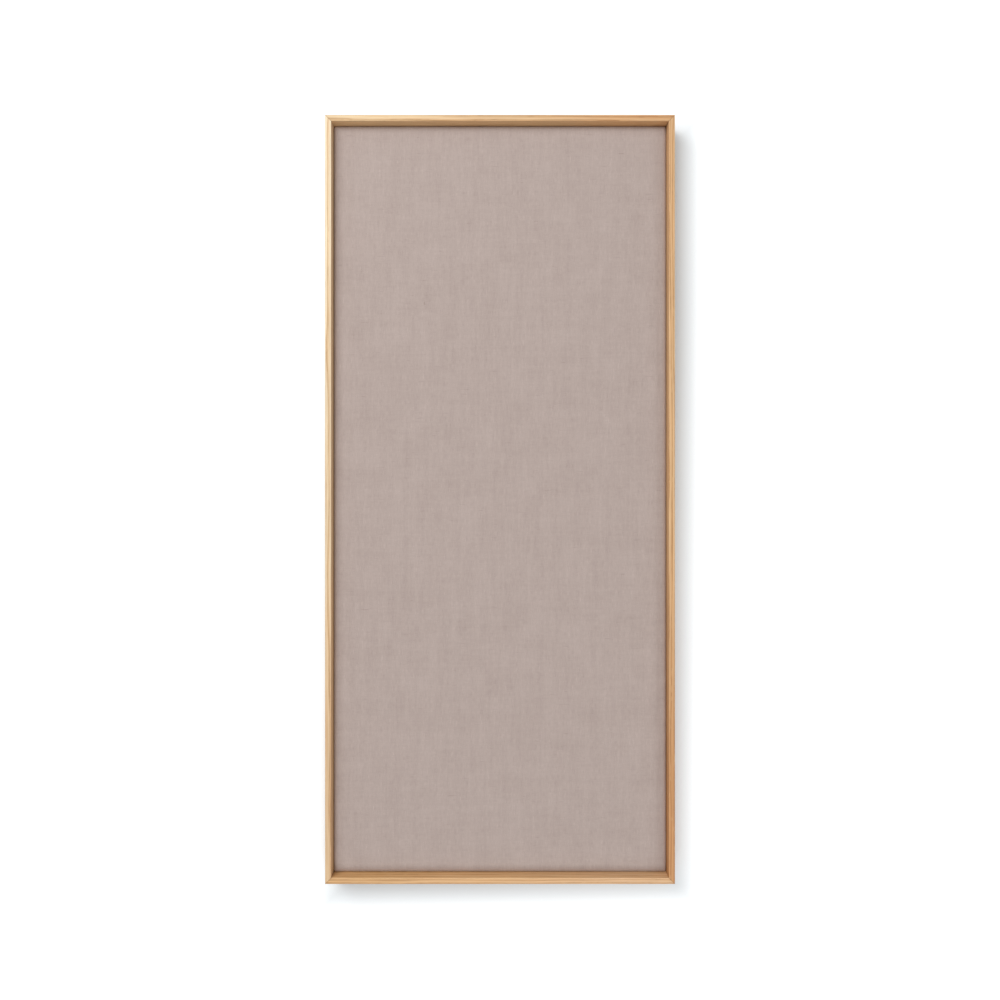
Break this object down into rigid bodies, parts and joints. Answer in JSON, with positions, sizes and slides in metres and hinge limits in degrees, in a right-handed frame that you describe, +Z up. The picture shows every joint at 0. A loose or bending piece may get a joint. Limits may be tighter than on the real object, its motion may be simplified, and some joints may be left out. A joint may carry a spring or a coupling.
{
  "type": "memo board",
  "caption": "Tall wall-hung memo board: a slim oak tray frame round a linen-covered cork panel, with strap hangers and pads on its back.",
  "frame": {"origin": "on the plane of the wall, midway between the two hooks that the board hangs on", "axes": "+X across the board to the right as it is seen from the front, +Y from the front of the board to the wall, +Z up"},
  "size_m": [0.455, 0.035, 1],
  "materials": {
    "oak": "natural straight-grained oak, clear matt lacquer",
    "linen": "fine plain-woven natural linen, stretched tight",
    "cork": "fine-grained pressed cork",
    "fibreboard": "thin brown fibreboard, smooth side out",
    "zinc_steel": "bright zinc-plated steel",
    "pad_rubber": "soft black rubber, matt"
  },
  "bodies": {
    "board": {"rail_bottom": "oak", "rail_top": "oak", "stile_left": "oak", "stile_right": "oak", "corner_v_nail_bottom_left": "zinc_steel", "corner_v_nail_bottom_right": "zinc_steel", "corner_v_nail_top_right": "zinc_steel", "corner_v_nail_top_left": "zinc_steel", "fibreboard_back": "fibreboard", "cork_core": "cork", "linen_cover": "linen", "panel_screw_bottom_1": "zinc_steel", "panel_screw_bottom_2": "zinc_steel", "panel_screw_right_1": "zinc_steel", "panel_screw_right_2": "zinc_steel", "panel_screw_right_3": "zinc_steel", "panel_screw_right_4": "zinc_steel", "panel_screw_top_1": "zinc_steel", "panel_screw_top_2": "zinc_steel", "panel_screw_left_1": "zinc_steel", "panel_screw_left_2": "zinc_steel", "panel_screw_left_3": "zinc_steel", "panel_screw_left_4": "zinc_steel", "hanger_strap_left": "zinc_steel", "hanger_screw_left_1": "zinc_steel", "hanger_screw_left_2": "zinc_steel", "hanger_strap_right": "zinc_steel", "hanger_screw_right_1": "zinc_steel", "hanger_screw_right_2": "zinc_steel", "wall_pad_bottom_left": "pad_rubber", "wall_pad_bottom_right": "pad_rubber", "wall_pad_top_right": "pad_rubber", "wall_pad_top_left": "pad_rubber"},
    "ring_left": {"hanger_ring_left": "zinc_steel"},
    "ring_right": {"hanger_ring_right": "zinc_steel"}
  },
  "joints": [
    {"name": "ring_left_swing", "type": "hinge", "parent": "board", "child": "ring_left", "pos_m": [-0.2165, -0.00295, -0.012], "axis": [1, 0, 0], "range_deg": [0, 175]},
    {"name": "ring_right_swing", "type": "hinge", "parent": "board", "child": "ring_right", "pos_m": [0.2165, -0.00295, -0.012], "axis": [1, 0, 0], "range_deg": [0, 175]}
  ]
}
